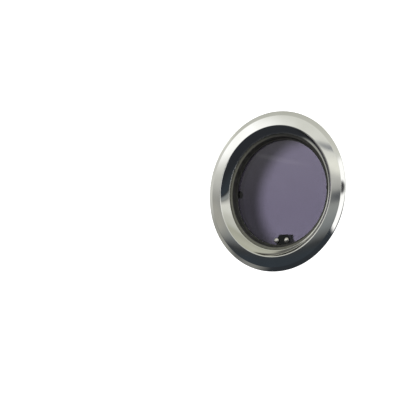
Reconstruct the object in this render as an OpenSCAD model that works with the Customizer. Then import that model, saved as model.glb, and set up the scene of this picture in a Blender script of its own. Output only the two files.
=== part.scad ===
// Opening porthole window: a polished flanged frame with a round tinted pane that tips inwards.
// Y is the window's axis: -Y is outside, +Y is inside, and +Z is up.
// The origin is at the middle of the frame, on the wall's outer face.

/* [Frame] */
// Outer radius of the spigot that fills the wall's cut-out
spigot_r = 122; // [105:1:180]
// Wall of the spigot
spigot_wall = 8; // [7:0.5:12]
// Thickness of the wall that the flange and the inner ring clamp
wall_t = 30; // [24:1:60]
// How far the flange reaches out past the spigot
flange_w = 28; // [22:1:40]
// Thickness of the flange at its rim
rim_t = 2.5; // [2:0.1:4]
// Radial width of the bevel at the rim
bevel_w = 8; // [4:0.5:9]
// Height of the bevel's inner edge over the wall
bevel_h = 4.3; // [4.2:0.1:8]
// Height of the crest over the wall
crest_h = 5.5; // [5:0.1:12]
// Rounding of the crest
crest_round = 3.5; // [0.5:0.1:4]
// Radial width of the funnel, from the crest to the lip
funnel_w = 12.7; // [10:0.1:16]
// Depth of the lip's bead behind the wall's outer face
lip_depth = 8; // [6:0.5:14]
// Thickness of the lip behind the middle of its bead
lip_t = 2; // [1.5:0.1:4]
// Radius of the rolled bead along the lip
bead_r = 1.2; // [0.5:0.1:2]

/* [Gasket in the flange] */
// Radial gap between the spigot and the gasket's groove
groove_in = 4; // [3:0.5:6]
// Radial width of the groove
groove_w = 8; // [4:0.5:9]
// Depth of the groove
groove_depth = 1.5; // [1:0.1:2]

/* [Pane and seal] */
// Axial depth of the seal behind the lip
seal_t = 12.2; // [8:0.1:16]
// Radial width of the seal's flat shoulder beside the lip
seal_shoulder = 5; // [2:0.1:7]
// Radial width of the seal's flank behind the shoulder
seal_flank = 2.5; // [1:0.1:4]
// How far the seal's edge reaches in past the flank
seal_edge_w = 2.8; // [1:0.1:5]
// Thickness of the seal's inner edge
seal_edge = 3.5; // [1:0.1:4]
// Thickness of the pane
pane_t = 10; // [8:0.5:15]
// Radial gap between the pane and the inner ring
pane_gap = 2.5; // [2:0.5:5]
// Bevel on the pane's edges
pane_bevel = 1; // [0.5:0.1:2]

/* [Inner ring] */
// Thickness of the inner ring
ring_t = 3.5; // [3:0.5:8]
// How far the inner ring reaches out past the spigot, over the wall
ring_w = 5; // [5:0.5:20]
// How far the inner ring reaches in past the spigot, over the pane's edge
ring_in = 2.5; // [1.5:0.5:4]
// Depth of the step that centres the ring on the spigot's end
ring_step = 1; // [0.5:0.1:2]
// Number of screws that hold the ring to the spigot
ring_screws_n = 8; // [6:2:12]
// Radius of a ring screw
ring_screw_r = 2; // [1.5:0.25:2.5]
// Radius of a ring screw's countersunk head
ring_head_r = 3.8; // [3:0.1:4.5]
// Length of a ring screw in the spigot
screw_grip = 12; // [8:1:16]

/* [Hinge] */
// How far the hinge pin's axis lies below the ring's inner edge
hinge_drop = 3.5; // [3:0.5:5]
// Outer radius of the knuckles
knuckle_r = 5; // [4.5:0.1:6]
// Length of the leaf's knuckle
knuckle_w = 25; // [20:1:40]
// Thickness of each bracket ear
ear_t = 6; // [4:0.5:10]
// Radius of the hinge pin
pin_r = 2.5; // [2:0.1:2.6]
// Wall of the friction bush
bush_wall = 1; // [0.8:0.1:1.2]
// Width of the leaf
leaf_w = 30; // [28:1:50]
// Thickness of the leaf's whole block
leaf_t = 10.5; // [9:0.5:14]
// Thickness of the leaf's front plate, which has cut corners
leaf_plate_t = 6.5; // [3:0.5:8]
// Width of the cut at each top corner of the front plate
leaf_cut_w = 6; // [3:0.5:8]
// Height of the cut at each top corner of the front plate
leaf_cut_h = 9; // [4:0.5:12]
// Thickness of the rubber pad under the leaf
leaf_pad_t = 1; // [0.5:0.1:2]
// Thickness of the leaf's arm over the ring
arm_t = 5; // [4:0.5:6]
// Distance between the two screws through the pane
leaf_screw_gap = 22; // [12:1:24]
// Distance from the pane's edge to those screws
leaf_screw_in = 18.5; // [14:0.5:40]
// Distance from those screws to the leaf's top
leaf_top = 11.5; // [7:0.5:16]
// Distance from the pane's edge to the block's lower end
leaf_foot = 4; // [3.5:0.5:6]
// Radius of the leaf screws
leaf_screw_r = 2.5; // [2:0.25:3]
// Radius of their dome heads
dome_r = 5.1; // [4:0.1:7]
// Height of their dome heads
dome_h = 3; // [2:0.1:4]
// Thickness of a bracket's foot
foot_t = 2.3; // [2:0.1:3]
// Length of a bracket's foot beside its ear
foot_w = 8; // [7:0.5:12]
// Radius of a bracket screw
bracket_screw_r = 1.5; // [1:0.25:2]
// Radius of a bracket screw's countersunk head
bracket_head_r = 2.8; // [2:0.1:3.2]
// Distance between the two screws of a bracket
bracket_screw_gap = 7; // [6.5:0.1:8]

/* [Latches] */
// Height of the latch line over the window's middle
latch_z = 3; // [-6:0.5:6]
// Length of a lever from its pivot to its tip
lever_len = 30; // [26:1:50]
// Width of a lever
lever_w = 10; // [8:0.5:12]
// Thickness of a lever
lever_t = 4.5; // [4:0.5:8]
// Radius of a lever's hub
hub_r = 6.5; // [5.5:0.5:7]
// Radius of a latch post's shoulder
post_r = 3.2; // [3:0.1:4]
// Radius of a latch post's thread
post_thread_r = 2.5; // [2:0.1:2.8]
// Length of a latch post's thread in the spigot
post_grip = 9; // [6:1:16]
// Thickness of a latch post's head
post_head_t = 2; // [1.5:0.5:4]
// Least thickness of a bearing washer
bearing_t = 0.5; // [0.5:0.1:2]
// Thickness of a spring washer
spring_t = 0.6; // [0.5:0.1:2]
// Least thickness of a strike pad
pad_min_t = 2; // [1.5:0.5:6]
// Height of a strike pad's face
pad_h = 15; // [9:0.5:16]
// Length of a strike pad
pad_len = 11.3; // [9:0.1:24]
// Distance from the pane's edge to a strike pad
pad_in = 5; // [4:0.5:10]
// Depth of the ramp on a strike pad
ramp_t = 1; // [0.5:0.1:1.4]

/* [Clearances] */
// Between a shaft and its hole
running = 0.05; // [0.02:0.01:0.1]
// Between faces that slide or press on each other
face_gap = 0.05; // [0.02:0.01:0.2]
// Between a bolt and the hole that it passes through
bolt_gap = 0.4; // [0.2:0.1:0.6]
// Between the latched lever and its strike pad
strike_gap = 0.25; // [0.1:0.05:0.5]

/* [Hidden] */
$fn = 96;
LEFT = -1;
RIGHT = 1;
// cutters run past the faces they open by this much
over = 1;

flange_r = spigot_r + flange_w;
spigot_in_r = spigot_r - spigot_wall;
spigot_len = wall_t + ring_step;
bevel_r = flange_r - bevel_w;
lip_r = spigot_r - funnel_w;
lip_back = lip_depth + lip_t;
groove_r = spigot_r + groove_in;

shoulder_r = lip_r - seal_shoulder;
flank_r = shoulder_r - seal_flank;
seal_in_r = flank_r - seal_edge_w;
seal_back = lip_back + seal_t;
ring_in_r = spigot_in_r - ring_in;
pane_r = ring_in_r - pane_gap;
pane_out_y = seal_back + face_gap;
pane_in_y = pane_out_y + pane_t;

ring_r = spigot_r + ring_w;
ring_y = wall_t;
ring_face = ring_y + ring_t;
wall_mid_r = (spigot_in_r + spigot_r) / 2;

leaf_y = pane_in_y + leaf_pad_t;
leaf_back = leaf_y + leaf_t;
knuckle_clear = 1;
hinge_y = max(ring_face, pane_in_y) + knuckle_r + knuckle_clear;
hinge_z = -(ring_in_r + hinge_drop);
leaf_screw_z = -(pane_r - leaf_screw_in);
leaf_top_z = leaf_screw_z + leaf_top;
leaf_foot_z = -(pane_r - leaf_foot);
washer_t = 0.8;
ear_x = knuckle_w / 2 + washer_t + 4 * face_gap;
ear_out_x = ear_x + ear_t;
bush_r = pin_r + running + bush_wall;
pin_head_t = 2;
pin_head_r = pin_r + 1;
foot_x = ear_out_x + foot_w / 2;
foot_z = -sqrt(pow((ring_in_r + ring_r) / 2, 2) - pow(foot_x, 2));
foot_half = bracket_screw_gap / 2 + bracket_head_r + 0.6;
clip_t = 1;
pin_tail = 3;
nut_h = 4;

post_x = wall_mid_r;
lever_y = max(ring_face + bearing_t, pane_in_y + pad_min_t + strike_gap) + face_gap;
lever_back = lever_y + lever_t;
spring_y = lever_back + face_gap;
post_head_y = spring_y + spring_t + face_gap;
post_head_r = post_r + 1.3;
pad_back = lever_y - strike_gap;
grip_t = 1;
grip_len = 16;

// points of an arc that rounds the corner at b, between a and c
function unit(v) = v / norm(v);
function rounded(a, b, c, r, n = 8) =
    let (
        u = unit(a - b),
        v = unit(c - b),
        half = acos(u * v) / 2,
        centre = b + unit(u + v) * r / sin(half),
        from = b + u * r / tan(half) - centre,
        to = b + v * r / tan(half) - centre
    )
    [for (i = [0:n]) centre + r * unit(from * (n - i) / n + to * i / n)];

// points of a quarter circle from the front of a bead round to its inner side
function bead(centre, r, n = 8) = [for (i = [0:n]) centre - r * [sin(90 * i / n), cos(90 * i / n)]];

// a shape drawn along local Z is turned to lie along the window's axis
module along_axis(y = 0) translate([0, y, 0]) rotate([-90, 0, 0]) children();
module along_x(x = 0) translate([x, hinge_y, hinge_z]) rotate([0, 90, 0]) children();
module at(x, z) translate([x, 0, z]) children();

// a flat ring or washer on the window's axis
module ring(inner, outer, y0, y1)
    along_axis(y0) difference() {
        cylinder(r = outer, h = y1 - y0);
        translate([0, 0, -over]) cylinder(r = inner, h = y1 - y0 + 2 * over);
    }

module box_between(low, high) translate(low) cube(high - low);

module at_ring_screws()
    for (i = [0:ring_screws_n - 1]) rotate([0, (i + 0.5) * 360 / ring_screws_n, 0])
        at(wall_mid_r, 0) children();

module at_bracket_screws()
    for (side = [LEFT, RIGHT], end = [-1, 1])
        at(side * foot_x, foot_z + end * bracket_screw_gap / 2) children();

module at_leaf_screws()
    for (side = [LEFT, RIGHT]) at(side * leaf_screw_gap / 2, leaf_screw_z) children();

// the shank and countersunk head of a screw whose head is flush at y
module countersunk_screw(r, head_r, y, length) {
    head_h = head_r - r;
    difference() {
        along_axis(y - length) union() {
            cylinder(r = r, h = length - head_h / 2);
            translate([0, 0, length - head_h]) cylinder(r1 = r, r2 = head_r, h = head_h);
        }
        along_axis(y - head_h * 0.8) cylinder(r = r * 0.7, h = head_h, $fn = 6);
    }
}

// the clearance hole and countersink for a screw whose head is flush at y
module countersink(r, head_r, y, depth) {
    gap = bolt_gap / 2;
    head_h = head_r - r;
    along_axis(y - depth) cylinder(r = r + gap, h = depth + over);
    along_axis(y - head_h) cylinder(r1 = r + gap, r2 = head_r + gap, h = head_h);
    along_axis(y) cylinder(r = head_r + gap, h = over);
}

module outer_frame() {
    rim = [flange_r, -rim_t];
    bevel = [bevel_r, -bevel_h];
    crest = [spigot_r, -crest_h];
    bead_mid = [lip_r + bead_r, lip_depth];
    bead_front = bead_mid - [0, bead_r];
    lip = [lip_r, lip_back];
    corner = [spigot_in_r, lip_back];
    color("silver") difference() {
        along_axis() rotate_extrude() polygon(concat(
            [[flange_r, 0]],
            rounded([flange_r, 0], rim, bevel, 0.8),
            rounded(rim, bevel, crest, 6),
            rounded(bevel, crest, bead_front, crest_round),
            bead(bead_mid, bead_r),
            [lip, corner, [spigot_in_r, spigot_len], [spigot_r, spigot_len], [spigot_r, 0]]
        ));
        ring(groove_r, groove_r + groove_w, -groove_depth, over);
        at_ring_screws() along_axis(spigot_len - screw_grip - over)
            cylinder(r = ring_screw_r + running, h = screw_grip + 2 * over);
        for (side = [LEFT, RIGHT]) at(side * post_x, latch_z) along_axis(spigot_len - post_grip - over)
            cylinder(r = post_thread_r + running, h = post_grip + 2 * over);
    }
}

module wall_gasket()
    color("dimgray") ring(groove_r + running, groove_r + groove_w - running, -groove_depth, 0);

module pane_seal() {
    shoulder = [shoulder_r, lip_back];
    step = [flank_r, seal_back - seal_edge];
    nose = [seal_in_r, seal_back - seal_edge];
    color([0.10, 0.10, 0.10]) along_axis() rotate_extrude() polygon(concat(
        [[spigot_in_r, lip_back]],
        rounded([spigot_in_r, lip_back], shoulder, step, 0.8),
        [step],
        rounded(step, nose, [seal_in_r, seal_back], 0.8),
        [[seal_in_r, seal_back], [spigot_in_r, seal_back]]
    ));
}

module inner_ring()
    color("silver") difference() {
        along_axis() rotate_extrude() polygon(concat(
            [[ring_in_r, ring_y + ring_step]],
            rounded([ring_in_r, ring_y], [ring_in_r, ring_face], [ring_r, ring_face], 0.8),
            rounded([ring_in_r, ring_face], [ring_r, ring_face], [ring_r, ring_y], 1.5),
            [[ring_r, ring_y], [spigot_r + bolt_gap, ring_y]],
            [[spigot_r + bolt_gap, ring_y + ring_step]]
        ));
        at_ring_screws() countersink(ring_screw_r, ring_head_r, ring_face, ring_t + over);
        at_bracket_screws() along_axis(ring_y - over)
            cylinder(r = bracket_screw_r + running, h = ring_t + 2 * over);
        for (side = [LEFT, RIGHT]) at(side * post_x, latch_z) along_axis(ring_y - over)
            cylinder(r = post_thread_r + running, h = ring_t + 2 * over);
    }

module ring_screws()
    color("silver") at_ring_screws() countersunk_screw(
        ring_screw_r, ring_head_r, ring_face, ring_t - ring_step + screw_grip);

// a foot on the inner ring and an ear that holds one end of the pin, on each side of the leaf
module hinge_brackets()
    color([0.13, 0.13, 0.14]) difference() {
        for (side = [0, 1]) mirror([side, 0, 0]) union() {
            box_between([ear_x, ring_face, foot_z - foot_half],
                [ear_out_x + foot_w, ring_face + foot_t, foot_z + foot_half]);
            box_between([ear_x, ring_face, hinge_z - knuckle_r],
                [ear_out_x, hinge_y, hinge_z + knuckle_r]);
            along_x(ear_x) cylinder(r = knuckle_r, h = ear_t);
        }
        along_x(-ear_out_x - over) cylinder(r = pin_r + running, h = 2 * (ear_out_x + over));
        at_bracket_screws()
            countersink(bracket_screw_r, bracket_head_r, ring_face + foot_t, foot_t + over);
    }

module hinge_bracket_screws()
    color("silver") at_bracket_screws() countersunk_screw(bracket_screw_r, bracket_head_r,
        ring_face + foot_t, foot_t + ring_t - ring_step - face_gap);

module hinge_pin()
    color("silver") {
        along_x(-ear_out_x - pin_tail) cylinder(r = pin_r, h = 2 * ear_out_x + pin_tail + over);
        along_x(ear_out_x) cylinder(r = pin_head_r, h = pin_head_t);
    }

module hinge_pin_clip()
    color("silver") along_x(-ear_out_x - face_gap - clip_t) difference() {
        cylinder(r = pin_head_r, h = clip_t);
        translate([0, 0, -over]) cylinder(r = pin_r + running, h = clip_t + 2 * over);
    }

module hinge_washers()
    color("ivory") for (x = [-ear_x + face_gap, ear_x - face_gap - washer_t])
        along_x(x) difference() {
            cylinder(r = knuckle_r, h = washer_t);
            translate([0, 0, -over]) cylinder(r = pin_r + running, h = washer_t + 2 * over);
        }

module pane()
    color([0.45, 0.43, 0.49, 0.6]) difference() {
        along_axis() rotate_extrude() polygon([
            [0, pane_out_y], [pane_r - pane_bevel, pane_out_y],
            [pane_r, pane_out_y + pane_bevel], [pane_r, pane_in_y - pane_bevel],
            [pane_r - pane_bevel, pane_in_y], [0, pane_in_y]
        ]);
        at_leaf_screws() along_axis(pane_out_y - over)
            cylinder(r = leaf_screw_r + bolt_gap, h = pane_t + 2 * over);
    }

// the leaf's outline behind the pane, with its top corners cut
module leaf_outline(depth)
    along_axis() linear_extrude(depth) polygon([
        [-leaf_w / 2, -leaf_foot_z], [leaf_w / 2, -leaf_foot_z],
        [leaf_w / 2, leaf_cut_h - leaf_top_z], [leaf_w / 2 - leaf_cut_w, -leaf_top_z],
        [leaf_cut_w - leaf_w / 2, -leaf_top_z], [-leaf_w / 2, leaf_cut_h - leaf_top_z]
    ]);

module hinge_leaf() {
    arm_y = hinge_y - knuckle_r;
    half = knuckle_w / 2;
    color([0.09, 0.09, 0.10]) difference() {
        union() {
            translate([0, leaf_y, 0]) leaf_outline(leaf_plate_t);
            box_between([-leaf_w / 2, leaf_y + leaf_plate_t, leaf_foot_z],
                [leaf_w / 2, leaf_back, leaf_top_z]);
            box_between([-half, arm_y, hinge_z], [half, arm_y + arm_t, leaf_foot_z + over]);
            along_x(-half) cylinder(r = knuckle_r, h = knuckle_w);
        }
        along_x(-half - over) cylinder(r = bush_r, h = knuckle_w + 2 * over);
        at_leaf_screws() along_axis(leaf_y - over)
            cylinder(r = leaf_screw_r + bolt_gap, h = leaf_t + 2 * over);
    }
}

module leaf_pad()
    color("black") difference() {
        translate([0, pane_in_y, 0]) leaf_outline(leaf_pad_t);
        at_leaf_screws() along_axis(pane_in_y - over)
            cylinder(r = leaf_screw_r + bolt_gap, h = leaf_pad_t + 2 * over);
    }

module leaf_screws()
    color("silver") at_leaf_screws() {
        dome_seat = pane_out_y - washer_t;
        ball_r = (pow(dome_r, 2) + pow(dome_h, 2)) / (2 * dome_h);
        along_axis(dome_seat - 0.5) cylinder(r = leaf_screw_r, h = leaf_back + nut_h - dome_seat + 1);
        intersection() {
            translate([0, dome_seat - dome_h + ball_r, 0]) sphere(r = ball_r);
            along_axis(dome_seat - dome_h - over) cylinder(r = ball_r, h = dome_h + over);
        }
    }

module sealing_washers()
    color("black") at_leaf_screws()
        ring(leaf_screw_r + running, dome_r - 0.3, pane_out_y - washer_t, pane_out_y);

module leaf_nuts()
    color("silver") at_leaf_screws() along_axis(leaf_back) difference() {
        cylinder(r = leaf_screw_r * 1.85, h = nut_h, $fn = 6);
        translate([0, 0, -over]) cylinder(r = leaf_screw_r + running, h = nut_h + 2 * over);
    }

module hinge_bush()
    color("ivory") along_x(-knuckle_w / 2) difference() {
        cylinder(r = bush_r - 0.02, h = knuckle_w);
        translate([0, 0, -over]) cylinder(r = pin_r + running, h = knuckle_w + 2 * over);
    }

// the ramp faces down, towards the lever as it swings up
module strike_pad(side) {
    nose_r = pad_h / 2;
    outer_x = pane_r - pad_in;
    nose_x = outer_x - pad_len + nose_r;
    color([0.10, 0.10, 0.11]) difference() {
        at(0, latch_z) union() {
            at(side * nose_x, 0) along_axis(pane_in_y) cylinder(r = nose_r, h = pad_back - pane_in_y);
            translate([side * (nose_x + outer_x) / 2, (pane_in_y + pad_back) / 2, 0])
                cube([outer_x - nose_x, pad_back - pane_in_y, pad_h], center = true);
        }
        translate([0, pad_back, latch_z - pad_h / 2])
            rotate([45, 0, 0]) cube([2 * pane_r, ramp_t * sqrt(2), ramp_t * sqrt(2)], center = true);
    }
}

module latch_post(side)
    color("silver") at(side * post_x, latch_z) difference() {
        union() {
            along_axis(spigot_len - post_grip) cylinder(r = post_thread_r, h = post_grip + ring_t);
            along_axis(ring_face) cylinder(r = post_r, h = post_head_y - ring_face + over);
            along_axis(post_head_y) cylinder(r = post_head_r, h = post_head_t);
        }
        along_axis(post_head_y + over) cylinder(r = post_r * 0.7, h = post_head_t, $fn = 6);
    }

module bearing_washer(side)
    color("ivory") at(side * post_x, latch_z)
        ring(post_r + running, hub_r, ring_face, lever_y - face_gap);

module spring_washer(side)
    color("silver") at(side * post_x, latch_z)
        ring(post_r + running, post_head_r, spring_y, spring_y + spring_t);

// levers hang down when they are released
module latch_lever(side)
    color([0.09, 0.09, 0.10]) at(side * post_x, latch_z) difference() {
        union() {
            along_axis(lever_y) cylinder(r = hub_r, h = lever_t);
            box_between([-lever_w / 2, lever_y, lever_w / 2 - lever_len],
                [lever_w / 2, lever_back, 0]);
            at(0, lever_w / 2 - lever_len) along_axis(lever_y) cylinder(r = lever_w / 2, h = lever_t);
        }
        along_axis(lever_y - over) cylinder(r = post_r + running, h = lever_t + 2 * over);
    }

module latch_grip(side) {
    grip_r = lever_w / 2 - 1;
    tip_z = lever_w / 2 - lever_len;
    color([0.20, 0.20, 0.21]) at(side * post_x, latch_z) {
        at(0, tip_z) along_axis(lever_back) cylinder(r = grip_r, h = grip_t);
        box_between([-grip_r, lever_back, tip_z],
            [grip_r, lever_back + grip_t, tip_z + grip_len - lever_w / 2]);
    }
}

outer_frame();
wall_gasket();
pane_seal();
inner_ring();
ring_screws();
hinge_brackets();
hinge_bracket_screws();
hinge_pin();
hinge_pin_clip();
hinge_washers();
pane();
hinge_leaf();
leaf_pad();
leaf_screws();
sealing_washers();
leaf_nuts();
hinge_bush();
strike_pad(LEFT);  // strike_pad_left
strike_pad(RIGHT);  // strike_pad_right
latch_post(LEFT);  // latch_post_left
latch_post(RIGHT);  // latch_post_right
bearing_washer(LEFT);  // bearing_washer_left
bearing_washer(RIGHT);  // bearing_washer_right
spring_washer(LEFT);  // spring_washer_left
spring_washer(RIGHT);  // spring_washer_right
latch_lever(LEFT);  // latch_lever_left
latch_lever(RIGHT);  // latch_lever_right
latch_grip(LEFT);  // latch_grip_left
latch_grip(RIGHT);  // latch_grip_right
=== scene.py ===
"""Opening porthole window: finishes, fine meshes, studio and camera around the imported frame."""

import logging
import math
from dataclasses import dataclass
from enum import Enum, IntEnum
from typing import Sequence

import bmesh
import bpy
from mathutils import Matrix, Vector


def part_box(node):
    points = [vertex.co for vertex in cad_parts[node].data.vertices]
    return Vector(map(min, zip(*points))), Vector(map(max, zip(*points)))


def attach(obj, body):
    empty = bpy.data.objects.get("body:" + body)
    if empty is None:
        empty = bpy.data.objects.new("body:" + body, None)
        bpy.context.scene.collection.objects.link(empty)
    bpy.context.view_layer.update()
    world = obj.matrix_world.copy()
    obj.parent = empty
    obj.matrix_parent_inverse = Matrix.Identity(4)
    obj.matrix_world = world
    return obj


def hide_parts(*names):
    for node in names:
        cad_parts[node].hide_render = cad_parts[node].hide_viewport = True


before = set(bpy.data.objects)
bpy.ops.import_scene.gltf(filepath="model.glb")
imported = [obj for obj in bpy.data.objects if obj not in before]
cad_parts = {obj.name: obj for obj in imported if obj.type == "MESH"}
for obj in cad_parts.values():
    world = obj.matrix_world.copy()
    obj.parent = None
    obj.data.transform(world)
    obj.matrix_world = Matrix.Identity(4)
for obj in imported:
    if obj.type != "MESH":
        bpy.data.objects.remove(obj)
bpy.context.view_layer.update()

logging.basicConfig(level=logging.INFO, format="%(name)s: %(message)s")
log = logging.getLogger("porthole")

MM = 0.001
WHITE = "#FFFFFF"
WELD = 1e-7  # points closer than this, in metres, become one
ALONG_Y = Matrix.Rotation(-math.pi / 2, 4, "X")  # lays a turned piece's axis along +Y
SHADE_ENDS = (0.3, 0.7)  # the noise heights between which a finish changes shade

Colour = tuple[float, float, float, float]
Point = tuple[float, float]
Corner = tuple[float, float, float]
Place = tuple[float, float, float]
Stops = Sequence[tuple[float, str]]
Socket = bpy.types.NodeSocket
Tree = bpy.types.NodeTree


class Mix(IntEnum):
    """Sockets of a Mix node that mixes colours."""

    AMOUNT = 0
    UNDER = 6
    OVER = 7
    RESULT = 2


class Sight(Enum):
    """Kinds of ray that a studio piece may be hidden from."""

    CAMERA = "visible_camera"
    DIFFUSE = "visible_diffuse"
    GLOSSY = "visible_glossy"
    SHADOW = "visible_shadow"
    VOLUME = "visible_volume_scatter"


# ---------------------------------------------------------------- small tools


def linear(colour: str) -> Colour:
    """Turns an sRGB hex colour into a linear one.

    Args:
        colour: six hex digits after a hash sign.

    Returns:
        Linear red, green, blue, and an alpha of 1.
    """
    parts = (int(colour[i : i + 2], 16) / 255 for i in (1, 3, 5))
    r, g, b = (p / 12.92 if p <= 0.04045 else ((p + 0.055) / 1.055) ** 2.4 for p in parts)
    return (r, g, b, 1.0)


def add_node(
    tree: Tree, kind: str, inputs: dict | None = None, stops: Stops = (), **settings: object
) -> bpy.types.Node:
    """Adds a shader node with its settings, values and links.

    Args:
        tree: the node tree that the node goes into.
        kind: the node's type without its ShaderNode prefix.
        inputs: socket name or number to a value, or to the output socket that feeds it.
        stops: position and hex colour of each stop, for a colour ramp.
        settings: the node's own properties, such as operation="MULTIPLY".

    Returns:
        The new node.
    """
    node = tree.nodes.new("ShaderNode" + kind)
    for name, value in settings.items():
        setattr(node, name, value)
    for key, value in (inputs or {}).items():
        if isinstance(value, Socket):
            tree.links.new(value, node.inputs[key])
        else:
            node.inputs[key].default_value = value
    for number, (position, colour) in enumerate(stops):
        elements = node.color_ramp.elements
        element = elements[number] if number < len(elements) else elements.new(position)
        element.position, element.color = position, linear(colour)
    return node


def rounded(corners: Sequence[Corner], steps: int = 8) -> list[Point]:
    """Rounds the corners of a closed outline with arcs.

    Args:
        corners: each corner's radius from the axis, depth and arc radius, in order; an arc
            radius of 0 leaves the corner sharp.
        steps: how many stretches each arc has.

    Returns:
        The points of the rounded outline.
    """
    spots = [Vector(corner[:2]) for corner in corners]
    points: list[Point] = []
    for i, (_, _, arc) in enumerate(corners):
        here = spots[i]
        if arc == 0:
            points.append(tuple(here))
            continue
        back = (spots[i - 1] - here).normalized()
        on = (spots[(i + 1) % len(spots)] - here).normalized()
        half = back.angle(on) / 2
        centre = here + (back + on).normalized() * arc / math.sin(half)
        start = here + back * arc / math.tan(half) - centre
        end = here + on * arc / math.tan(half) - centre
        for k in range(steps + 1):
            spoke = start.lerp(end, k / steps).normalized() * arc
            points.append(tuple(centre + spoke))
    return points


def lathe(outline: Sequence[Point], turns: int) -> bmesh.types.BMesh:
    """Turns an outline of (radius, depth) points about the window's own axis, Y.

    Args:
        outline: the closed outline, in metres.
        turns: how many faces go round.

    Returns:
        The turned mesh.
    """
    mesh = bmesh.new()
    rings = []
    for k in range(turns):
        angle = 2 * math.pi * k / turns
        c, s = math.cos(angle), math.sin(angle)
        spots = (ALONG_Y @ Vector((r * c, r * s, depth)) for r, depth in outline)
        rings.append([mesh.verts.new(spot) for spot in spots])
    for k in range(turns):
        here, there = rings[k], rings[(k + 1) % turns]
        for i in range(len(outline)):
            j = (i + 1) % len(outline)
            mesh.faces.new((here[i], here[j], there[j], there[i]))
    return mesh


def finish_mesh(name: str, mesh: bmesh.types.BMesh, sharp_deg: float = 35) -> bpy.types.Object:
    """Turns a bmesh into an object with smooth faces and sharp edges by angle.

    Args:
        name: the piece's name.
        mesh: the bmesh, which is freed.
        sharp_deg: edges that turn more than this stay sharp.

    Returns:
        The object, linked into the scene.
    """
    bmesh.ops.remove_doubles(mesh, verts=mesh.verts, dist=WELD)
    bmesh.ops.recalc_face_normals(mesh, faces=mesh.faces)
    data = bpy.data.meshes.new(name)
    mesh.to_mesh(data)
    mesh.free()
    data.polygons.foreach_set("use_smooth", [True] * len(data.polygons))
    data.set_sharp_from_angle(angle=math.radians(sharp_deg))
    piece = bpy.data.objects.new(name, data)
    bpy.context.scene.collection.objects.link(piece)
    return piece


def hide(piece: bpy.types.Object, *sights: Sight) -> None:
    """Hides a studio piece from some kinds of ray.

    Args:
        piece: the floor, the card or a lamp.
        sights: the kinds of ray that pass it by.
    """
    for sight in sights:
        setattr(piece, sight.value, False)


def dress(piece: bpy.types.Object, material: bpy.types.Material) -> None:
    """Gives a piece one material, in every slot it has.

    Args:
        piece: the piece or CAD node.
        material: the material that it takes.
    """
    if not piece.data.materials:
        piece.data.materials.append(material)
    for slot in piece.material_slots:
        slot.material = material


# ---------------------------------------------------------------- finishes


@dataclass(frozen=True)
class Finish:
    """A surface finish: the real material, how it was made, and how it takes light.

    Where a pattern drives them, the colour runs from its own to the lighter one, the relief
    stands depth_mm high, and the roughness runs between the two shares of itself in gloss.
    """

    name: str
    colour: str
    roughness: float
    metallic: float = 0.0
    lighter: str = WHITE
    depth_mm: float = 0.0
    gloss: Point = (1.0, 1.0)

    def build(self) -> bpy.types.Material:
        """Makes the material and lets the finish add its own detail.

        Returns:
            The new material.
        """
        material = bpy.data.materials.new(self.name)
        material.use_nodes = True
        tree = material.node_tree
        shader = tree.nodes["Principled BSDF"]
        shader.inputs["Base Color"].default_value = linear(self.colour)
        shader.inputs["Roughness"].default_value = self.roughness
        shader.inputs["Metallic"].default_value = self.metallic
        self.detail(tree, shader)
        return material

    def detail(self, tree: Tree, shader: bpy.types.Node) -> None:
        """Adds the finish's own nodes; the plain finish has none."""

    def blotches(self, tree: Tree, size_mm: float, detail: float = 2.0) -> Socket:
        """Spreads soft blotches over the piece, sized in real millimetres.

        Args:
            tree: the material's node tree.
            size_mm: how far across one blotch is.
            detail: how much finer structure it has.

        Returns:
            The blotches' height, from 0 to 1.
        """
        place = add_node(tree, "TexCoord").outputs["Object"]
        inputs = {"Vector": place, "Scale": 1 / (size_mm * MM), "Detail": detail}
        return add_node(tree, "TexNoise", inputs).outputs["Fac"]

    def surface(
        self, shader: bpy.types.Node, relief: Socket | None = None,
        shade: Socket | None = None, haze: Socket | None = None,
    ) -> None:
        """Lets patterns drive the relief, the colour and the roughness.

        Args:
            shader: the Principled shader.
            relief: the pattern that stands out from the surface.
            shade: the pattern that the lighter colour follows.
            haze: the pattern that the roughness follows.
        """
        tree = shader.id_data
        if relief is not None:
            inputs = {"Height": relief, "Distance": self.depth_mm * MM, "Strength": 1.0}
            normal = add_node(tree, "Bump", inputs).outputs["Normal"]
            tree.links.new(normal, shader.inputs["Normal"])
        if shade is not None:
            stops = list(zip(SHADE_ENDS, (self.colour, self.lighter)))
            colour = add_node(tree, "ValToRGB", {"Fac": shade}, stops).outputs["Color"]
            tree.links.new(colour, shader.inputs["Base Color"])
        if haze is not None:
            low, high = (self.roughness * share for share in self.gloss)
            inputs = {"Value": haze, "To Min": low, "To Max": high}
            rough = add_node(tree, "MapRange", inputs).outputs["Result"]
            tree.links.new(rough, shader.inputs["Roughness"])


@dataclass(frozen=True)
class PolishedStainless(Finish):
    """Stainless buffed to a mirror: clear reflections, drawn out a little by the wheel."""

    metallic: float = 1.0
    depth_mm: float = 0.04
    gloss: Point = (0.7, 1.4)
    wave_mm: float = 34.0
    haze_mm: float = 9.0

    def detail(self, tree: Tree, shader: bpy.types.Node) -> None:
        """Adds the slow waves and faint haze that a buffing wheel leaves."""
        waves = self.blotches(tree, self.wave_mm, detail=1.0)
        self.surface(shader, waves, waves, self.blotches(tree, self.haze_mm, detail=3.0))


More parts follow.
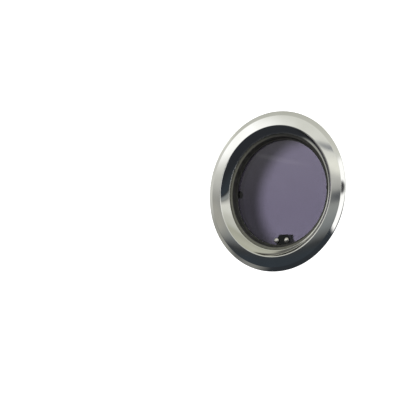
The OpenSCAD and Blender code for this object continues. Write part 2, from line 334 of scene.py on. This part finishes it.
@dataclass(frozen=True)
class TurnedStainless(Finish):
    """Stainless left from the lathe: fine rings round the axis spread light across them."""

    metallic: float = 1.0
    depth_mm: float = 0.01
    gloss: Point = (0.8, 1.25)
    line_mm: float = 0.5  # coarser than the real feed of 0.1 mm, so that the rings show
    stain_mm: float = 25.0

    def detail(self, tree: Tree, shader: bpy.types.Node) -> None:
        """Adds tool lines round the window's axis and a faint change of shade.

        Args:
            tree: the material's node tree.
            shader: its Principled shader.
        """
        place = add_node(tree, "TexCoord").outputs["Object"]
        axes = add_node(tree, "SeparateXYZ", {"Vector": place}).outputs
        flat = add_node(tree, "CombineXYZ", {"X": axes["X"], "Z": axes["Z"]}).outputs["Vector"]
        radius = add_node(tree, "VectorMath", {0: flat}, operation="LENGTH").outputs["Value"]
        along = add_node(tree, "CombineXYZ", {"X": radius, "Y": axes["Y"]}).outputs["Vector"]
        inputs = {"Vector": along, "Scale": 1 / (self.line_mm * MM), "Detail": 2.0}
        lines = add_node(tree, "TexNoise", inputs).outputs["Fac"]
        self.surface(shader, lines, self.blotches(tree, self.stain_mm), lines)


@dataclass(frozen=True)
class TumbledStainless(Finish):
    """Small stainless fittings, tumbled in a barrel after machining: soft gloss, faint grain."""

    metallic: float = 1.0
    depth_mm: float = 0.004
    gloss: Point = (0.8, 1.2)
    grain_mm: float = 0.6  # coarser than a real tumbled grain, so that it shows
    stain_mm: float = 4.0

    def detail(self, tree: Tree, shader: bpy.types.Node) -> None:
        """Adds the tumbled grain and a faint change of shade."""
        grain = self.blotches(tree, self.grain_mm, detail=3.0)
        self.surface(shader, grain, self.blotches(tree, self.stain_mm), grain)


@dataclass(frozen=True)
class CastAcrylic(Finish):
    """Smoked cast acrylic sheet: clear, with a tint, and a slight haze of wear."""

    gloss: Point = (0.5, 1.5)
    ior: float = 1.49
    wear_mm: float = 18.0

    def detail(self, tree: Tree, shader: bpy.types.Node) -> None:
        """Lets light through and adds the haze.

        Args:
            tree: the material's node tree.
            shader: its Principled shader.
        """
        shader.inputs["IOR"].default_value = self.ior
        shader.inputs["Transmission Weight"].default_value = 1.0
        self.surface(shader, haze=self.blotches(tree, self.wear_mm))


@dataclass(frozen=True)
class BlackRubber(Finish):
    """Black rubber or elastomer: matt, with a fine grain and a dusty bloom."""

    depth_mm: float = 0.03
    grain_mm: float = 0.5  # coarser than a real rubber skin, so that it shows
    bloom_mm: float = 14.0

    def detail(self, tree: Tree, shader: bpy.types.Node) -> None:
        """Adds the grain and the bloom."""
        grain = self.blotches(tree, self.grain_mm, detail=3.0)
        self.surface(shader, grain, self.blotches(tree, self.bloom_mm, detail=4.0))


@dataclass(frozen=True)
class PaintedLightRubber(BlackRubber):
    """Rubber seal with painted light: its front shoulder is painted paler, most at the left and
    bottom, where light falls.
    """

    # painted light on the shoulder: its colour, the radius where it starts, how soft its edge is, and
    # the side where it is strongest
    lit_shoulder_colour: str = "#57574F"
    lit_r: float = 104.6 * MM
    lit_soft: float = 0.5 * MM
    lit_side: Place = (-0.8, 0.0, -0.6)
    lit_from: float = -75 * MM
    lit_to: float = 55 * MM

    def detail(self, tree: Tree, shader: bpy.types.Node) -> None:
        """Adds the grain and bloom, then painted light over them by radius and side.

        Args:
            tree: the material's node tree.
            shader: its Principled shader.
        """
        super().detail(tree, shader)
        bare = shader.inputs["Base Color"].links[0].from_socket
        place = add_node(tree, "TexCoord").outputs["Object"]
        inputs = {0: place, 1: (1, 0, 1)}
        flat = add_node(tree, "VectorMath", inputs, operation="MULTIPLY").outputs["Vector"]
        radius = add_node(tree, "VectorMath", {0: flat}, operation="LENGTH").outputs["Value"]
        low, high = self.lit_r - self.lit_soft, self.lit_r + self.lit_soft
        inputs = {"Value": radius, "From Min": low, "From Max": high}
        shoulder = add_node(tree, "MapRange", inputs).outputs["Result"]
        inputs = {0: place, 1: self.lit_side}
        side = add_node(tree, "VectorMath", inputs, operation="DOT_PRODUCT").outputs["Value"]
        inputs = {"Value": side, "From Min": self.lit_from, "From Max": self.lit_to}
        lit_share = add_node(tree, "MapRange", inputs).outputs["Result"]
        inputs = {0: shoulder, 1: lit_share}
        amount = add_node(tree, "Math", inputs, operation="MULTIPLY").outputs["Value"]
        # painted light: the shoulder made paler, most on its lit side
        inputs = {Mix.AMOUNT: amount, Mix.UNDER: bare, Mix.OVER: linear(self.lit_shoulder_colour)}
        painted_light = add_node(tree, "Mix", inputs, data_type="RGBA").outputs[Mix.RESULT]
        tree.links.new(painted_light, shader.inputs["Base Color"])


@dataclass(frozen=True)
class SmoothPlastic(Finish):
    """Plastic, moulded or turned, with a fine even skin: one colour, small soft highlights."""

    depth_mm: float = 0.02
    gloss: Point = (0.85, 1.15)
    grain_mm: float = 0.7  # coarser than a real plastic skin, so that it shows
    shade_mm: float = 12.0

    def detail(self, tree: Tree, shader: bpy.types.Node) -> None:
        """Adds the skin's grain and a faint change of shade."""
        grain = self.blotches(tree, self.grain_mm, detail=3.0)
        self.surface(shader, grain, self.blotches(tree, self.shade_mm), grain)


# 316 stainless, mirror polished: the ring shows the room, with edges that waver a little.
MIRROR = PolishedStainless(
    "stainless_316_mirror_polished", "#D7D7D3", 0.045, lighter="#DDDDDA",
)
# A4 stainless heads, polished when new: bright domes whose highlights have gone soft.
DOME = PolishedStainless(
    "stainless_a4_screw_polished", "#EFEDE8", 0.40, lighter="#F6F4F0",
    depth_mm=0.004, wave_mm=6.0,
)
# 316 stainless, turned: a satin face with rings, so that it reads apart from the mirror.
TURNED = TurnedStainless("stainless_316_lathe_turned", "#A9A8A3", 0.26, lighter="#B8B7B3")
# A4 stainless, tumbled: screws, pin, nuts and washers glint without a sharp reflection.
FITTING = TumbledStainless("stainless_a4_tumbled", "#B5B4AF", 0.20, lighter="#C6C5C1")
# Smoked cast acrylic: the violet-grey pane, almost without haze.
ACRYLIC = CastAcrylic("acrylic_cast_smoked", "#5D586A", 0.012)
# EPDM, extruded: dark and matt, with painted light on the shoulder beside the lip, paler at the left
# and bottom.
EPDM = PaintedLightRubber("epdm_seal_extruded", "#1B1B19", 0.62, lighter="#2A2A28")
# Neoprene sheet, cut: the dullest black here.
NEOPRENE = BlackRubber("neoprene_gasket_cut", "#171716", 0.75, lighter="#222220")
# Soft rubber, moulded: matt black pads and washers, a little duller than the nylon.
SOFT = BlackRubber("rubber_pad_moulded", "#141413", 0.70, lighter="#1D1D1C")
# Glass-filled nylon, moulded: black with a slight sheen on its edges.
NYLON = SmoothPlastic("nylon_glass_filled_moulded", "#131314", 0.42, lighter="#1E1E20")
# Acetal, moulded black: a little glossier than the nylon beside it.
ACETAL_BLACK = SmoothPlastic(
    "acetal_black_moulded", "#0E0E10", 0.35, lighter="#161618", grain_mm=0.4,
)
# Acetal, natural, turned: thin pale lines between the dark and bright pieces.
ACETAL_WHITE = SmoothPlastic(
    "acetal_natural_turned", "#DAD7CB", 0.38, lighter="#E6E3D8",
    depth_mm=0.006, grain_mm=0.3,
)
# Thermoplastic elastomer, moulded: the levers' grips, greyer and duller than the levers.
GRIP = BlackRubber("tpe_grip_moulded", "#252527", 0.6, lighter="#2E2E30", grain_mm=0.8)


# ---------------------------------------------------------------- the window


@dataclass
class OuterFrame:
    """The polished ring: rim, bevel, sloped face, crest, funnel, lip and spigot."""

    rim_t: float = 2.5 * MM
    bevel_r: float = 142 * MM
    bevel_h: float = 4.3 * MM
    crest_r: float = 122 * MM
    crest_h: float = 5.5 * MM
    lip_r: float = 109.3 * MM
    lip_y: float = 8 * MM
    lip_t: float = 2 * MM
    bead_r: float = 1.2 * MM
    bore_r: float = 114 * MM
    spigot_r: float = 122 * MM
    groove_in: float = 126 * MM
    groove_out: float = 134 * MM
    groove_deep: float = 1.5 * MM
    back_edge: float = 0.3 * MM
    rim_edge: float = 0.8 * MM
    bevel_edge: float = 6 * MM
    crest_round: float = 3.5 * MM
    end_edge: float = 0.5 * MM
    inside_edge: float = 0.2 * MM
    bead_share: float = 0.999  # leaves a hair of flat beside the bead's arc, so no face is empty
    arc_steps: int = 12
    turns: int = 360
    sharp_deg: float = 60

    def outline(self) -> list[Point]:
        """Draws the ring's section from its back edge, round the face to the groove.

        Returns:
            The rounded section, as (radius, depth) points.
        """
        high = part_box("outer_frame")[1]
        rim_r, end = high.x, high.y
        bead_x, bead_y = self.lip_r + self.bead_r, self.lip_y - self.bead_r
        lip_back = self.lip_y + self.lip_t
        corners = (
            (rim_r, 0, self.back_edge),
            (rim_r, -self.rim_t, self.rim_edge),
            (self.bevel_r, -self.bevel_h, self.bevel_edge),
            (self.crest_r, -self.crest_h, self.crest_round),
            (bead_x, bead_y, 0),
            (self.lip_r, bead_y, self.bead_r * self.bead_share),
            (self.lip_r, lip_back, self.back_edge),
            (self.bore_r, lip_back, self.inside_edge),
            (self.bore_r, end, self.end_edge),
            (self.spigot_r, end, self.end_edge),
            (self.spigot_r, 0, self.inside_edge),
            (self.groove_in, 0, self.inside_edge),
            (self.groove_in, -self.groove_deep, self.inside_edge),
            (self.groove_out, -self.groove_deep, self.inside_edge),
            (self.groove_out, 0, self.inside_edge),
        )
        return rounded(corners, self.arc_steps)

    def build(self) -> bpy.types.Object:
        """Turns the ring with fine arcs, so that its mirror finish reads cleanly.

        Returns:
            The ring, which stands for the frame's CAD node.
        """
        piece = finish_mesh("frame_ring", lathe(self.outline(), self.turns), self.sharp_deg)
        dress(piece, MIRROR.build())
        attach(piece, "frame")
        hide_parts("outer_frame")
        return piece


@dataclass
class PaneSeal:
    """The black seal between the lip and the pane."""

    shoulder_w: float = 5 * MM
    flank_w: float = 2.5 * MM
    edge_w: float = 2.8 * MM
    edge_t: float = 3.5 * MM
    shoulder_edge: float = 0.8 * MM
    step_edge: float = 0.4 * MM
    back_edge: float = 0.2 * MM
    turns: int = 256

    def outline(self, lip_r: float) -> list[Point]:
        """Draws the seal's stepped section.

        Args:
            lip_r: the radius of the frame's lip, where the seal's shoulder starts to show.

        Returns:
            The rounded section, as (radius, depth) points.
        """
        low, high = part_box("pane_seal")
        step_y = high.y - self.edge_t
        shoulder_r = lip_r - self.shoulder_w
        flank_r = shoulder_r - self.flank_w
        inner_r = flank_r - self.edge_w
        corners = (
            (high.x, low.y, 0),
            (shoulder_r, low.y, self.shoulder_edge),
            (flank_r, step_y, self.step_edge),
            (inner_r, step_y, self.shoulder_edge),
            (inner_r, high.y, self.back_edge),
            (high.x, high.y, 0),
        )
        return rounded(corners)

    def build(self, lip_r: float) -> bpy.types.Object:
        """Turns the seal.

        Args:
            lip_r: the radius of the frame's lip.

        Returns:
            The seal, which stands for its CAD node.
        """
        piece = finish_mesh("seal_ring", lathe(self.outline(lip_r), self.turns))
        dress(piece, EPDM.build())
        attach(piece, "frame")
        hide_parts("pane_seal")
        return piece


@dataclass(frozen=True)
class Hardware:
    """CAD nodes whose shape is right, and the finish that they take."""

    finish: Finish
    nodes: tuple[str, ...]

    def build(self) -> None:
        """Dresses each of the nodes."""
        material = self.finish.build()
        for name in self.nodes:
            dress(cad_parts[name], material)


HARDWARE = (
    Hardware(ACRYLIC, ("pane",)),
    Hardware(TURNED, ("inner_ring",)),
    Hardware(NEOPRENE, ("wall_gasket",)),
    Hardware(SOFT, ("leaf_pad", "sealing_washers")),
    Hardware(NYLON, ("hinge_leaf", "hinge_brackets", "latch_lever_left", "latch_lever_right")),
    Hardware(ACETAL_BLACK, ("strike_pad_left", "strike_pad_right")),
    Hardware(ACETAL_WHITE, (
        "hinge_bush", "hinge_washers", "bearing_washer_left", "bearing_washer_right",
    )),
    Hardware(GRIP, ("latch_grip_left", "latch_grip_right")),
    Hardware(DOME, ("leaf_screws",)),
    Hardware(FITTING, (
        "ring_screws", "hinge_bracket_screws", "hinge_pin", "hinge_pin_clip", "leaf_nuts",
        "latch_post_left", "latch_post_right", "spring_washer_left", "spring_washer_right",
    )),
)


# ---------------------------------------------------------------- studio


@dataclass(frozen=True)
class Softbox:
    """A soft square lamp that faces the window and isn't seen in the polished metal."""

    name: str
    place: Place
    size: float
    power: float

    def build(self) -> None:
        """Adds the lamp."""
        data = bpy.data.lights.new(self.name, "AREA")
        data.size, data.energy = self.size, self.power
        lamp = bpy.data.objects.new(self.name, data)
        lamp.location = self.place
        lamp.rotation_euler = (-Vector(self.place)).to_track_quat("-Z", "Y").to_euler()
        hide(lamp, Sight.GLOSSY)
        bpy.context.scene.collection.objects.link(lamp)


@dataclass
class Studio:
    """A pale floor, a card behind the pane that paints the frame's shadow, the room and three
    softboxes.
    """

    floor_z: float = -0.62
    floor_r: float = 3.0
    floor_sides: int = 96
    card_y: float = 125 * MM
    card_size: float = 0.9
    # painted shadow: the grey that the card lays over what is seen through the pane
    painted_shadow_colour: str = "#686866"
    hole_r: float = 114 * MM
    hole_soft: float = 20 * MM
    lamps: tuple[Softbox, ...] = (
        Softbox("key_softbox", (-1.6, -2.2, 1.9), 1.6, 60),
        Softbox("fill_softbox", (1.8, -1.6, 0.9), 1.4, 22),
        Softbox("back_softbox", (0.6, 2.4, 1.6), 1.8, 40),
    )

    def build(self) -> None:
        """Makes the floor, the card, the light and the view transform."""
        bpy.context.scene.view_settings.view_transform = "Standard"
        self.floor()
        self.card()
        Room().build()
        for lamp in self.lamps:
            lamp.build()

    def floor(self) -> None:
        """Makes the pale floor, a disc far below the window."""
        mesh = bmesh.new()
        bmesh.ops.create_circle(
            mesh, cap_ends=True, segments=self.floor_sides, radius=self.floor_r
        )
        bmesh.ops.translate(mesh, verts=mesh.verts, vec=(0, 0, self.floor_z))
        piece = finish_mesh("studio_floor", mesh)
        dress(piece, Finish("studio_floor_paint", "#E9E8E5", 0.7).build())
        hide(piece, Sight.GLOSSY)

    def card(self) -> None:
        """Hangs a grey card with a soft round hole behind the window, seen only through the pane: a
        painted shadow of the frame.
        """
        mesh = bmesh.new()
        bmesh.ops.create_grid(mesh, x_segments=1, y_segments=1, size=self.card_size / 2)
        place = Matrix.Translation((0, self.card_y, 0)) @ ALONG_Y
        bmesh.ops.transform(mesh, matrix=place, verts=mesh.verts)
        piece = finish_mesh("studio_painted_shadow_card", mesh)
        dress(piece, self.card_material())
        hide(piece, Sight.CAMERA, Sight.GLOSSY, Sight.DIFFUSE, Sight.SHADOW, Sight.VOLUME)

    def card_material(self) -> bpy.types.Material:
        """Makes the card's material: clear inside the hole, outside it a grey filter that is the
        painted shadow.

        Returns:
            The new material.
        """
        material = bpy.data.materials.new("studio_painted_shadow")
        material.use_nodes = True
        tree = material.node_tree
        inputs = {0: add_node(tree, "TexCoord").outputs["Object"], 1: (1, 0, 1)}
        flat = add_node(tree, "VectorMath", inputs, operation="MULTIPLY").outputs["Vector"]
        radius = add_node(tree, "VectorMath", {0: flat}, operation="LENGTH").outputs["Value"]
        low, high = self.hole_r - self.hole_soft, self.hole_r + self.hole_soft
        inputs = {"Value": radius, "From Min": low, "From Max": high}
        shade = add_node(tree, "MapRange", inputs, interpolation_type="SMOOTHSTEP").outputs["Result"]
        inputs = {
            Mix.AMOUNT: shade, Mix.UNDER: linear(WHITE), Mix.OVER: linear(self.painted_shadow_colour),
        }
        colour = add_node(tree, "Mix", inputs, data_type="RGBA").outputs[Mix.RESULT]
        clear = add_node(tree, "BsdfTransparent", {"Color": colour})
        tree.links.new(clear.outputs["BSDF"], tree.nodes["Material Output"].inputs["Surface"])
        return material


def heading(azimuth: float, elevation: float) -> Vector:
    """Turns two angles into a direction.

    Args:
        azimuth: degrees from straight out in front of the window towards its left.
        elevation: degrees above the level.

    Returns:
        A unit vector.
    """
    a, e = math.radians(azimuth), math.radians(elevation)
    return Vector((-math.sin(a) * math.cos(e), -math.cos(a) * math.cos(e), math.sin(e)))


@dataclass(frozen=True)
class Glow:
    """A soft-edged oval patch of the room, light or dark; angles and half sizes in degrees."""

    azimuth: float
    elevation: float
    half_width: float
    half_height: float
    colour: str
    edge: float = 0.35
    tilt: float = 0.0

    def paint(self, tree: Tree, ray: Socket, under: Socket) -> Socket:
        """Lays the patch over the colours so far.

        Args:
            tree: the world's node tree.
            ray: the direction of sight.
            under: the colour below the patch.

        Returns:
            The colour with the patch on it.
        """
        middle = heading(self.azimuth, self.elevation)
        wide = math.sin(math.radians(self.half_width))
        tall = math.sin(math.radians(self.half_height))
        inputs = {0: ray, 1: middle}
        away = add_node(tree, "VectorMath", inputs, operation="SUBTRACT").outputs["Vector"]
        inputs = {"Vector": away, "Axis": middle, "Angle": math.radians(self.tilt)}
        turned = add_node(tree, "VectorRotate", inputs).outputs["Vector"]
        inputs = {0: turned, 1: (1 / wide, 1 / wide, 1 / tall)}
        scaled = add_node(tree, "VectorMath", inputs, operation="MULTIPLY").outputs["Vector"]
        reach = add_node(tree, "VectorMath", {0: scaled}, operation="LENGTH").outputs["Value"]
        inputs = {"Value": reach, "From Min": 1 + self.edge, "From Max": 1 - self.edge}
        inside = add_node(tree, "MapRange", inputs, interpolation_type="SMOOTHSTEP").outputs["Result"]
        inputs = {Mix.AMOUNT: inside, Mix.UNDER: under, Mix.OVER: linear(self.colour)}
        return add_node(tree, "Mix", inputs, data_type="RGBA").outputs[Mix.RESULT]


@dataclass(frozen=True)
class Room:
    """The room that the polished ring mirrors: dark below in front, bright above, pale behind.

    The levels run by elevation in degrees, and on the window's right the horizon rises. The
    patches of light and dark lie where the metal needs something to reflect.
    """

    strength: float = 1.43
    horizon_rise: float = 0.18
    levels: Stops = (
        (-24.0, "#282A2E"), (-4.0, "#2F353B"), (-0.8, "#30363C"), (0.8, "#343638"),
        (1.8, "#5C5E5F"), (3.0, "#767A7C"), (5.2, "#888B8A"), (6.8, "#848584"),
        (8.2, "#A6A6A3"), (9.8, "#BEBEBA"), (12.0, "#D0D0CB"), (17.0, "#CDCEC8"),
        (24.0, "#BDBDB6"), (33.0, "#B4B5AE"), (42.0, "#A2A296"), (64.0, "#ACACA0"),
        (90.0, "#A8A899"),
    )
    behind: tuple[float, float] = (0.2, 0.5)
    rear_drop: tuple[float, float] = (-0.36, -0.02)
    rear: Stops = ((0.0, "#66686A"), (0.5, "#A4A4A1"), (1.0, WHITE))
    front_glows: tuple[Glow, ...] = (
        Glow(70, -4, 19, 15, "#94948F"),  # wide grey, far left, about level
        Glow(64, 12, 12, 9, "#C4C4C0", 0.6),  # paler, above it
        Glow(41, 15, 7.5, 3.2, WHITE, 0.6),  # white, left and raised
        Glow(22.4, 10.7, 4, 1.1, "#E0E0D8", 0.5),  # thin pale band, left
        Glow(24.4, 13.15, 3, 0.45, "#84868A", 0.6),  # grey line over that band
        Glow(22.6, 6.6, 3.2, 0.6, "#55585C", 0.6),  # dark line under it
        Glow(2, 4, 9, 15, WHITE, 0.12),  # tall white, straight in front, with a firm edge
        Glow(3.9, 7.2, 2.4, 2.3, "#3C3C3E", 0.4),  # small dark patch on that white
        Glow(46, -15, 7, 4, "#7A7A78", 0.6),  # grey, left, below the level
        Glow(44.5, 4.6, 5, 2.6, "#9C9B95", 0.5),  # pale grey, left, just above the level
        Glow(70, 42, 12, 10, "#5A5A57", 0.4),  # dark, far left, high
        Glow(66, 27, 7, 6, "#F2F2EC", 0.4),  # near white, far left, below that dark
        Glow(-90, 8, 20, 26, "#DCDCD6", 0.4),  # large and pale, square to the right
        Glow(32.8, 9.47, 1.35, 0.13, "#E2E2DE", 0.5, tilt=11.5),  # hair-thin slanted line
    )
    side_glows: tuple[Glow, ...] = (
        Glow(126, 28, 34, 34, "#5C5A57", 0.25),  # large and dark, behind, left
    )
    roof_glows: tuple[Glow, ...] = (  # over everything, so that they show through the pane too
        Glow(104, 60, 20, 14, "#5C5A57", 0.25),  # dark, left, high overhead
        Glow(114, 38, 14, 15, "#5C5A57", 0.25),  # dark, behind, left, below it
        Glow(90, 71, 9, 7, "#2E2A27", 0.5),  # darkest, square to the left, near the zenith
    )

    def build(self) -> None:
        """Makes the world from the levels and the glows."""
        world = bpy.data.worlds.new("studio_room")
        bpy.context.scene.world = world
        world.use_nodes = True
        tree = world.node_tree
        ray = add_node(tree, "TexCoord").outputs["Generated"]
        colour = self.heights(tree, ray)
        for glow in self.front_glows:
            colour = glow.paint(tree, ray, colour)
        colour = self.turn_back(tree, ray, colour)
        for glow in self.side_glows:
            colour = glow.paint(tree, ray, colour)
        colour = self.clear_view(tree, colour)
        for glow in self.roof_glows:
            colour = glow.paint(tree, ray, colour)
        background = tree.nodes["Background"]
        tree.links.new(colour, background.inputs["Color"])
        background.inputs["Strength"].default_value = self.strength

    def heights(self, tree: Tree, ray: Socket) -> Socket:
        """Colours the room by height.

        Args:
            tree: the world's node tree.
            ray: the direction of sight.

        Returns:
            The colour of the levels.
        """
        axes = add_node(tree, "SeparateXYZ", {"Vector": ray}).outputs
        inputs = {0: axes["X"], 1: 0.0}
        right = add_node(tree, "Math", inputs, operation="MAXIMUM").outputs["Value"]
        inputs = {0: right, 1: -self.horizon_rise, 2: axes["Z"]}
        risen = add_node(tree, "Math", inputs, operation="MULTIPLY_ADD").outputs["Value"]
        heights = [math.sin(math.radians(elevation)) for elevation, _ in self.levels]
        low, high = heights[0], heights[-1]
        inputs = {"Value": risen, "From Min": low, "From Max": high}
        height = add_node(tree, "MapRange", inputs).outputs["Result"]
        shares = ((h - low) / (high - low) for h in heights)
        stops = [(share, colour) for share, (_, colour) in zip(shares, self.levels)]
        return add_node(tree, "ValToRGB", {"Fac": height}, stops).outputs["Color"]

    def turn_back(self, tree: Tree, ray: Socket, front: Socket) -> Socket:
        """Makes the half behind the window pale, and grey towards the floor.

        Args:
            tree: the world's node tree.
            ray: the direction of sight.
            front: the colour of the half in front.

        Returns:
            The colour all round.
        """
        axes = add_node(tree, "SeparateXYZ", {"Vector": ray}).outputs
        low, high = self.behind
        inputs = {"Value": axes["Y"], "From Min": low, "From Max": high}
        amount = add_node(tree, "MapRange", inputs).outputs["Result"]
        low, high = self.rear_drop
        inputs = {"Value": axes["Z"], "From Min": low, "From Max": high}
        height = add_node(tree, "MapRange", inputs).outputs["Result"]
        back = add_node(tree, "ValToRGB", {"Fac": height}, self.rear).outputs["Color"]
        inputs = {Mix.AMOUNT: amount, Mix.UNDER: front, Mix.OVER: back}
        return add_node(tree, "Mix", inputs, data_type="RGBA").outputs[Mix.RESULT]

    def clear_view(self, tree: Tree, mirrored: Socket) -> Socket:
        """Leaves a plain white backdrop for what is seen straight on or through the pane.

        Args:
            tree: the world's node tree.
            mirrored: the colour that reflections see.

        Returns:
            The colour for every kind of ray.
        """
        path = add_node(tree, "LightPath").outputs
        inputs = {0: path["Is Camera Ray"], 1: path["Is Transmission Ray"]}
        straight = add_node(tree, "Math", inputs, operation="MAXIMUM").outputs["Value"]
        inputs = {Mix.AMOUNT: straight, Mix.UNDER: mirrored, Mix.OVER: linear(WHITE)}
        return add_node(tree, "Mix", inputs, data_type="RGBA").outputs[Mix.RESULT]


@dataclass
class Camera:
    """The camera stands to the right of the window and a little below its middle."""

    azimuth_deg: float = 33.08
    elevation_deg: float = -7.76
    distance: float = 1.951
    lens: float = 94.16
    sensor: float = 36.0
    aim_right: float = 0.0718
    aim_up: float = 0.0086
    clip: tuple[float, float] = (0.05, 30.0)

    def build(self) -> None:
        """Makes the camera, turned so that the window sits right of the picture's middle."""
        back = heading(-self.azimuth_deg, self.elevation_deg)
        look = (-back).to_track_quat("-Z", "Y")
        seen = Vector((self.aim_right, self.aim_up, -1.0)).normalized()
        turn = seen.rotation_difference(Vector((0.0, 0.0, -1.0)))
        data = bpy.data.cameras.new("camera")
        data.lens, data.sensor_width = self.lens, self.sensor
        data.clip_start, data.clip_end = self.clip
        camera = bpy.data.objects.new("camera", data)
        camera.location = back * self.distance
        camera.rotation_mode = "QUATERNION"
        camera.rotation_quaternion = look @ turn
        bpy.context.scene.collection.objects.link(camera)
        bpy.context.scene.camera = camera


def main() -> None:
    """Builds the camera, the window and the studio, in that order."""
    Camera().build()
    ring = OuterFrame()
    log.info("built %s", ring.build().name)
    log.info("built %s", PaneSeal().build(ring.lip_r).name)
    for group in HARDWARE:
        group.build()
        log.info("dressed %s in %s", ", ".join(group.nodes), group.finish.name)
    Studio().build()
    log.info("built the studio")


if __name__ == "__main__":
    main()
